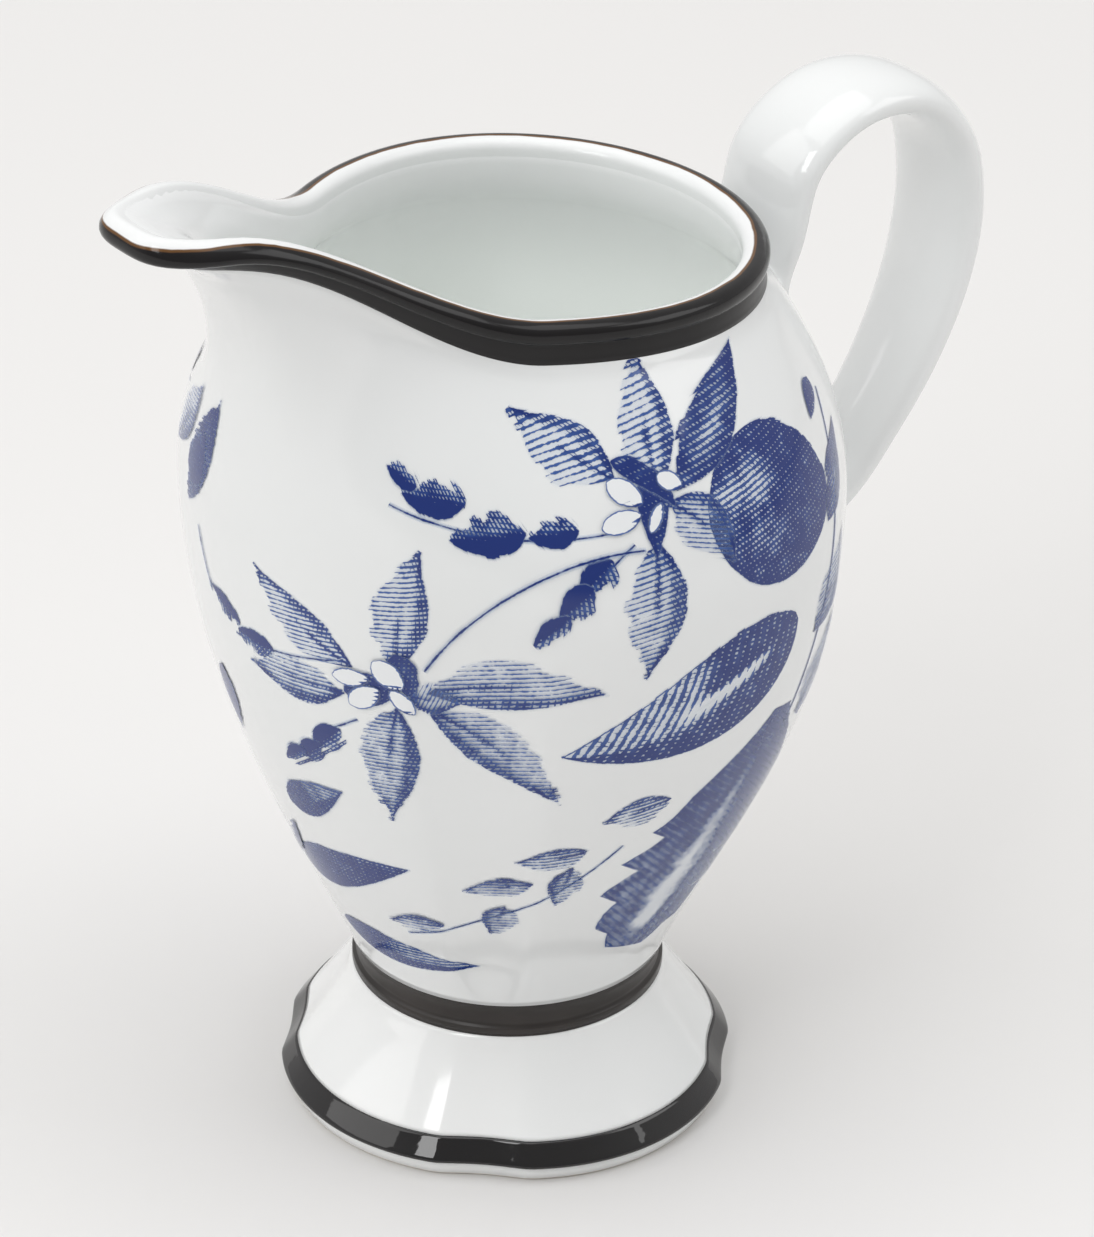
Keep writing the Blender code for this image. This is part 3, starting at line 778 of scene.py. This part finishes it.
first = hatch(line_wave, tone)
second = hatch(cross_wave, tone * CROSS_GAIN - CROSS_START)
inside = (rim_mm + fray * 0.25).above(0.05, softness=0.12)
outline = inside * (1.0 - (rim_mm + fray * 0.30 - 0.12).above(0.10, softness=0.10))
ink = (first.math("MAXIMUM", second) * inside).math("MAXIMUM", outline * paint.mark("line_edge"))
wash = rim_mm.above(0.0, softness=0.6) * (0.10 + tone * tone * 0.40)
bare = paint.mark("bare") * inside
cover = ink.math("MAXIMUM", wash).math("MAXIMUM", bare)
deep = paint.blend((tone + patchy * 0.8).above(0.55, softness=0.7), INK_SOFT, INK_DARK)
ground = paint.blend(bare, WASH, PAPER_WHITE)
ripple = paint.bump(paint.noise(scale=RIPPLE_SCALE, detail=1.0), RIPPLE_DEPTH, RIPPLE_STRENGTH)
inked = paint.blend(ink, ground, deep)
print_film = paint.finish(Base_Color=inked, Roughness=0.07, Alpha=cover, Normal=ripple)


def petal_width(t):
    return math.sin(math.pi * t**0.82) ** 1.15


def leaf_width(t):
    return math.sin(math.pi * t**0.66) ** 0.9


def round_width(t):
    return math.sin(math.pi * t**0.9) ** 0.55


def lump_width(t):
    return math.sin(math.pi * t**0.8) ** 0.8


def broad_width(t):
    return math.sin(math.pi * min(t**1.25 * 0.93 + 0.02, 0.98)) ** 0.7


def stem_width(t):
    return 1.0


def petal_tone(q, t):
    root_end = 0.42 * math.exp(-((t / 0.12) ** 2))
    tip = 0.32 * smooth((t - 0.72) / 0.22)
    rib = 0.40 * math.exp(-((q / 0.11) ** 2)) * (1.0 - smooth((t - 0.3) / 0.4))
    return 0.28 + 0.36 * smooth((q - 0.30) / 0.30) + root_end + tip + rib


def dark_petal_tone(q, t):
    light = math.exp(-(((q - 0.1) / 0.35) ** 2)) * math.exp(-(((t - 0.4) / 0.22) ** 2))
    return 0.76 + 0.12 * smooth((t - 0.7) / 0.3) - 0.32 * light


def leaf_tone(q, t):
    stripes = smooth((t - 0.36) / 0.14) * (1.0 - smooth((q - 0.25) / 0.2))
    return 0.82 - 0.36 * stripes


def round_tone(q, t):
    wedge = math.exp(-(((q + 0.28) / 0.30) ** 2)) * (1.0 - smooth((t - 0.32) / 0.22))
    low = math.exp(-(((q - 0.45) / 0.20) ** 2)) * math.exp(-(((t - 0.36) / 0.16) ** 2))
    return 0.84 - 0.42 * wedge - 0.22 * low


def broad_tone(q, t):
    streaks = 0.32 * smooth((t - 0.35) / 0.3) * math.sin(q * 9.0 + 2.0) ** 2
    return 0.80 - streaks


def solid_tone(q, t):
    return 0.84 + 0.08 * q


def lump_tone(q, t):
    return 0.62 + 0.50 * smooth((q + 0.45) / 0.8)


def berry_tone(q, t):
    return -0.60 + 1.3 * smooth((t + 0.35 * q - 0.62) / 0.5)


def line_tone(q, t):
    return 1.3


# Each kind has its outline, its shade, the weight of its drawn edge, how far its lines stray past the edge
# in millimetres, and whether bare white covers what lies under it.
KINDS = {
    "petal": (petal_width, petal_tone, 0.15, 0.90, 0.0),
    "dark_petal": (petal_width, dark_petal_tone, 0.3, 0.8, 0.0),
    "leaf": (leaf_width, leaf_tone, 1.0, 0.25, 0.0),
    "solid": (leaf_width, solid_tone, 1.0, 0.3, 0.0),
    "round": (round_width, round_tone, 1.0, 0.5, 0.0),
    "broad": (broad_width, broad_tone, 1.0, 0.35, 0.0),
    "lump": (lump_width, lump_tone, 0.4, 1.15, 0.0),
    "berry": (round_width, berry_tone, 1.0, 0.1, 1.0),
    "stem": (stem_width, line_tone, 1.0, 0.1, 0.0),
}


STATION_PITCH = 0.625
LEAST_HALF_WIDTH = 0.06
FILM_MARGIN = 0.30
TOOTH_PITCH = 5.6


def film_strip(
    film, kind, root, heading, length, width,
    bend=0.0, shade=1, slant=8.0, teeth=0.0, slit=None, coarse=1.0, layer=0,
):
    """Adds one petal, leaf or stem to a film: root is its (bearing, share of height), and its heading is
    clockwise from straight up, both in degrees; length and width are in millimetres. It bends clockwise
    as it grows, by bend degrees in all, and slant tips its engraved lines."""
    shape, tone_at, outline_weight, stray, bare = KINDS[kind]
    spot = bowl_point(math.radians(root[0]), root[1])
    point, normal = bowl_tree.find_nearest(spot)[:2]
    up = Vector((0.0, 0.0, 1.0))
    up = (up - normal * up.dot(normal)).normalized()
    right = up.cross(normal)
    turn = math.radians(heading)
    ahead = up * math.cos(turn) + right * math.sin(turn)
    stations = max(10, int(length / STATION_PITCH))
    crosses = 12 if width > 1.5 else 4
    stride = length * 0.001 / stations
    lift = FILM + layer * LAYER_LIFT
    tilt = math.radians(slant)
    start = len(film["points"])
    for station in range(stations + 1):
        t = station / stations
        half = max(shape(min(max(t, 0.004), 0.996)) * width / 2, LEAST_HALF_WIDTH)
        if teeth:
            half *= 1.0 - teeth * smooth((t - 0.25) / 0.3) * (1.0 - (t * length / TOOTH_PITCH) % 1.0)
        side = ahead.cross(normal).normalized()
        reach = half + FILM_MARGIN + stray / 2
        for index in range(crosses + 1):
            q = 2.0 * index / crosses - 1.0
            place, out = bowl_tree.find_nearest(point + side * q * reach * 0.001)[:2]
            film["points"].append(place + out * lift)
            over = math.atan2(place.y, place.x - AXIS_X) * math.hypot(place.y, place.x - AXIS_X) * 1000.0
            rise = place.z * 1000.0
            film["lines"].append((rise * math.cos(tilt) - over * math.sin(tilt)) / coarse)
            film["cross"].append(over * math.cos(tilt) + rise * math.sin(tilt))
            share_across = max(min(q * reach / half, 1.2), -1.2)
            end = min(t, 1.0 - t) * length
            margin = min(half - abs(q) * reach, end + 0.1)
            tone_here = tone_at(share_across * shade, t)
            if slit:
                middle, spread, end_share = slit
                off_line = (share_across - middle) / (spread * (1.0 + 1.5 * t))
                along = smooth(t * 6.0 - 0.6) * (1.0 - smooth((t - end_share) / 0.12))
                open_slit = math.exp(-(off_line**4)) * along
                tone_here = tone_here * (1.0 - open_slit) - 0.5 * open_slit
            film["tone"].append(tone_here)
            film["edge"].append(margin)
            film["line_edge"].append(outline_weight)
            film["fringe"].append(stray * (0.25 + 0.75 * smooth(0.5 - share_across * shade)))
            film["bare"].append(bare)
        moved = point + ahead * stride
        point, normal = bowl_tree.find_nearest(moved)[:2]
        ahead = Matrix.Rotation(-math.radians(bend) / stations, 3, normal) @ ahead
        ahead = (ahead - normal * ahead.dot(normal)).normalized()
    for station in range(stations):
        for index in range(crosses):
            low = start + station * (crosses + 1) + index
            high = low + crosses + 1
            film["faces"].append((low, low + 1, high + 1, high))


MARKS = ("lines", "cross", "tone", "edge", "line_edge", "fringe", "bare")


def print_sheet(name, strips, mirrored=False):
    """Lays a sprig's strips as one film; mirrored gives the far side of the jug its like."""
    film = {key: [] for key in ("points", "faces", *MARKS)}
    for layer, (kind, root, heading, length, width, *more) in enumerate(strips):
        extra = dict(more[0]) if more else {}
        bearing = root[0]
        if mirrored:
            bearing = 360.0 - bearing
            heading = -heading
            extra["bend"] = -extra.get("bend", 0.0)
            extra["shade"] = -extra.get("shade", 1)
            extra["slant"] = -extra.get("slant", 8.0)
        film_strip(film, kind, (bearing, root[1]), heading, length, width, layer=layer, **extra)
    mesh = bpy.data.meshes.new(name)
    mesh.from_pydata(film["points"], [], film["faces"])
    mesh.shade_smooth()
    for mark in MARKS:
        layer = mesh.attributes.new(mark, "FLOAT", "POINT")
        layer.data.foreach_set("value", film[mark])
    mesh.materials.append(print_film)
    piece = put(name, mesh)
    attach(piece, "root")


# Each strip is its kind, root, heading, length and width, and then whatever sets it apart from its kind.
upper_flower = [
    ("petal", (248, 0.84), 306, 13.8, 6.6, {"bend": 14}),
    ("petal", (256, 0.82), 1, 15.6, 6.4, {"bend": 8}),
    ("dark_petal", (260, 0.82), 48, 19.0, 6.6, {"bend": -14}),
    ("petal", (255, 0.77), 182, 15.6, 7.0, {"bend": 10, "shade": -1}),
    ("petal", (258, 0.81), 124, 11.0, 6.0, {"bend": 30, "shade": -1, "slant": -20}),
    ("solid", (255, 0.85), 186, 9.6, 3.8),
    ("solid", (247, 0.86), 112, 9.0, 2.6, {"bend": 40}),
    ("berry", (246, 0.84), 128, 4.6, 2.8),
    ("berry", (245, 0.79), 77, 4.6, 2.6),
    ("berry", (254, 0.78), 31, 3.4, 1.6),
    ("berry", (256, 0.84), 123, 3.2, 2.2),
]
lower_flower = [
    ("petal", (203, 0.54), 291, 15.5, 5.8, {"bend": 24}),
    ("petal", (211, 0.56), 1, 14.8, 6.4, {"bend": 20}),
    ("petal", (201, 0.50), 267, 14.0, 6.0, {"bend": -10, "shade": -1}),
    ("petal", (211, 0.51), 193, 18.0, 7.0, {"bend": -12, "shade": -1}),
    ("petal", (216, 0.54), 72, 19.8, 6.2, {"bend": 36}),
    ("petal", (216, 0.52), 116, 19.4, 6.4, {"bend": 34}),
    ("solid", (201, 0.505), 71, 8.0, 4.6),
    ("solid", (211, 0.58), 160, 6.4, 3.4),
    ("petal", (213, 0.53), 95, 5.6, 4.0, {"slant": 80}),
    ("berry", (199, 0.52), 80, 4.6, 2.5),
    ("berry", (207, 0.56), 131, 4.4, 3.3),
    ("berry", (202, 0.49), 51, 4.8, 2.9),
    ("berry", (210, 0.53), 136, 3.8, 2.3),
]
catkins = [
    ("stem", (247, 0.785), 266, 24.0, 0.3, {"bend": 36}),
    ("lump", (241, 0.79), 268, 5.6, 3.4, {"slant": 85, "shade": -1}),
    ("lump", (232, 0.78), 267, 8.2, 4.6, {"slant": 85, "shade": -1}),
    ("lump", (221, 0.79), 282, 6.8, 4.0, {"slant": 85, "shade": -1}),
    ("lump", (213, 0.79), 305, 4.2, 2.2, {"slant": 85, "shade": -1}),
    ("stem", (251, 0.77), 235, 13.6, 0.3, {"bend": -14}),
    ("lump", (247, 0.755), 230, 5.0, 3.6, {"slant": 75}),
    ("lump", (244, 0.725), 234, 5.0, 3.6, {"slant": 75}),
    ("lump", (240, 0.69), 231, 5.0, 2.6, {"slant": 75}),
    ("stem", (216, 0.57), 30, 28.5, 0.34, {"bend": 58}),
]
low_catkin = [
    ("stem", (203, 0.47), 234, 4.5, 0.3),
    ("lump", (199, 0.445), 224, 6.4, 3.4, {"slant": 70}),
    ("lump", (194, 0.41), 228, 5.8, 3.0, {"slant": 70}),
    ("lump", (189, 0.39), 228, 5.0, 2.4, {"slant": 70}),
]
round_leaf = [("round", (266, 0.785), 98, 20.6, 18.0)]
LONG_SLIT = (0.05, 0.055, 0.48)
BROAD_SLIT = (0.10, 0.05, 0.85)
long_leaf_look = {"bend": 16, "shade": -1, "slit": LONG_SLIT, "slant": 82, "coarse": 1.9}
long_leaf = [("leaf", (286, 0.61), 241, 31.2, 12.5, long_leaf_look)]
broad_leaf = [("broad", (287, 0.47), 192, 36.5, 26.0, {"slit": BROAD_SLIT, "teeth": 0.30, "slant": 60})]
small_spray = [
    ("stem", (254, 0.32), 216, 30.2, 0.3, {"bend": 14}),
    ("petal", (262, 0.39), 256, 8.0, 4.6),
    ("petal", (247, 0.32), 253, 8.4, 3.8),
    ("petal", (244, 0.29), 189, 7.6, 3.8),
    ("petal", (236, 0.26), 252, 8.2, 3.2),
    ("petal", (230, 0.21), 197, 6.6, 3.8),
    ("petal", (214, 0.16), 250, 7.0, 3.2),
]
right_spray = [
    ("stem", (310, 0.84), 210, 38.8, 0.5, {"bend": -16}),
    ("dark_petal", (298, 0.70), 50, 13.0, 5.5),
    ("petal", (293, 0.56), 48, 13.0, 6.5),
    ("petal", (296, 0.42), 20, 13.0, 6.5),
    ("solid", (307, 0.86), 230, 5.0, 3.0),
]
front_leaves = [
    ("solid", (165, 0.16), 65, 22.0, 6.4, {"bend": 20}),
    ("leaf", (172, 0.08), 97, 18.3, 5.2, {"bend": 14}),
    ("stem", (160, 0.23), 153, 6.1, 0.4, {"bend": 20}),
    ("leaf", (177, 0.28), 55, 12.4, 5.2, {"bend": 10}),
    ("solid", (164, 0.43), 180, 9.2, 4.0),
    ("lump", (164, 0.17), 31, 8.0, 2.0),
]
left_spray = [
    ("stem", (200, 0.54), 252, 16.0, 0.3, {"bend": 10}),
    ("lump", (186, 0.51), 269, 6.3, 3.0, {"slant": 70}),
    ("lump", (177, 0.52), 291, 6.4, 2.6, {"slant": 70}),
    ("stem", (168, 0.54), 340, 7.1, 0.3, {"bend": 10}),
    ("dark_petal", (161, 0.63), 29, 18.7, 5.0),
    ("solid", (163, 0.66), 30, 9.0, 4.4),
    ("petal", (152, 0.69), 41, 14.8, 5.0),
]

near_sprigs = {
    "upper_flower": upper_flower,
    "lower_flower": lower_flower,
    "catkins": catkins,
    "low_catkin": low_catkin,
    "round_leaf": round_leaf,
    "long_leaf": long_leaf,
    "broad_leaf": broad_leaf,
    "small_spray": small_spray,
    "right_spray": right_spray,
    "front_leaves": front_leaves,
    "left_spray": left_spray,
}
for name, strips in near_sprigs.items():
    print_sheet("print_" + name, strips)
# The far side has the same sprigs mirrored, without the flower and the leaves that reach round the front.
far_sprigs = {
    "upper_flower": upper_flower,
    "round_leaf": round_leaf,
    "long_leaf": long_leaf,
    "broad_leaf": broad_leaf,
    "small_spray": small_spray,
    "right_spray": right_spray,
    "catkins": catkins[:-1],
}
for name, strips in far_sprigs.items():
    print_sheet("print_far_" + name, strips, mirrored=True)

# ---------------------------------------------------------------- floor, light and camera
# A plain pale sheet of paper on a table, in a white room that is a little darker at the front left.
# Soft light falls from a wide window on the left, a narrow pane beside it, a ceiling and a weak fill.

PAPER_SPREAD = 6.0
PAPER_TINTS = ((0.775, 0.768, 0.758), (0.80, 0.793, 0.782))
ROOM_LIGHT = 0.635
ROOM_TINT = (1.0, 0.99, 0.985)
DARK_SIDE = (-0.63, -0.77, 0.0)
DARK_SIDE_LOSS = 0.30
JUG_MIDDLE = Vector((AXIS_X, 0.0, 0.06))
LENS = 190.0
FILM_HEIGHT = 36.0
ROLL = math.radians(1.12)

corners = [(x * PAPER_SPREAD, y * PAPER_SPREAD, 0.0) for x, y in ((-1, -1), (1, -1), (1, 1), (-1, 1))]
paper = bpy.data.meshes.new("table")
paper.from_pydata(corners, [], [(0, 1, 2, 3)])
table = put("table", paper)
paint = Paint("table_paper")
cloud = paint.noise(scale=3.0)
paper.materials.append(paint.finish(Base_Color=paint.blend(cloud, *PAPER_TINTS), Roughness=0.7))


def soft_box(name, spot, size, power):
    light = bpy.data.lights.new(name, "AREA")
    light.shape = "RECTANGLE"
    light.size, light.size_y = size
    light.energy = power
    lamp = put(name, light)
    lamp.location = spot
    lamp.rotation_euler = (JUG_MIDDLE - Vector(spot)).to_track_quat("-Z", "Y").to_euler()
    return light


window = soft_box("window_light", (-1.10, 0.50, 1.00), size=(1.1, 1.1), power=4.6)
window.color = (1.0, 0.99, 0.98)
soft_box("top_light", (0.0, 0.0, 1.6), size=(1.5, 1.5), power=9.0)
soft_box("pane_light", (-1.05, -0.39, 1.05), size=(0.40, 0.70), power=4.6)
soft_box("front_fill", (0.95, -0.85, 1.15), size=(1.0, 0.8), power=4.0)


class Room(Paint):
    """The room round the table, as a world with one Background shader."""

    def __init__(self, name):
        self.world = bpy.data.worlds.new(name)
        self.world.use_nodes = True
        self.tree = self.world.node_tree
        self.shader = self.tree.nodes["Background"]


room = Room("studio")
direction = room.node("ShaderNodeTexCoord", {}, {}, "Generated")
sides = {0: direction, 1: DARK_SIDE}
towards = room.node("ShaderNodeVectorMath", {"operation": "DOT_PRODUCT"}, sides, "Value")
strength = ROOM_LIGHT - towards.above(0.45, softness=0.9) * DARK_SIDE_LOSS
room.fill(room.shader.inputs["Color"], ROOM_TINT)
room.fill(room.shader.inputs["Strength"], strength)
bpy.context.scene.world = room.world

camera_data = bpy.data.cameras.new("camera")
camera_data.sensor_fit = "VERTICAL"
camera_data.sensor_height = FILM_HEIGHT
camera_data.lens = LENS
camera = put("camera", camera_data)
eye = Vector((AXIS_X - 0.3954, -0.4814, 0.4177))
target = Vector((AXIS_X, -0.0059, 0.0608))
look = (target - eye).to_track_quat("-Z", "Y").to_matrix() @ Matrix.Rotation(ROLL, 3, "Z")
camera.matrix_world = Matrix.Translation(eye) @ look.to_4x4()
bpy.context.scene.camera = camera
bpy.context.scene.view_settings.view_transform = "Standard"
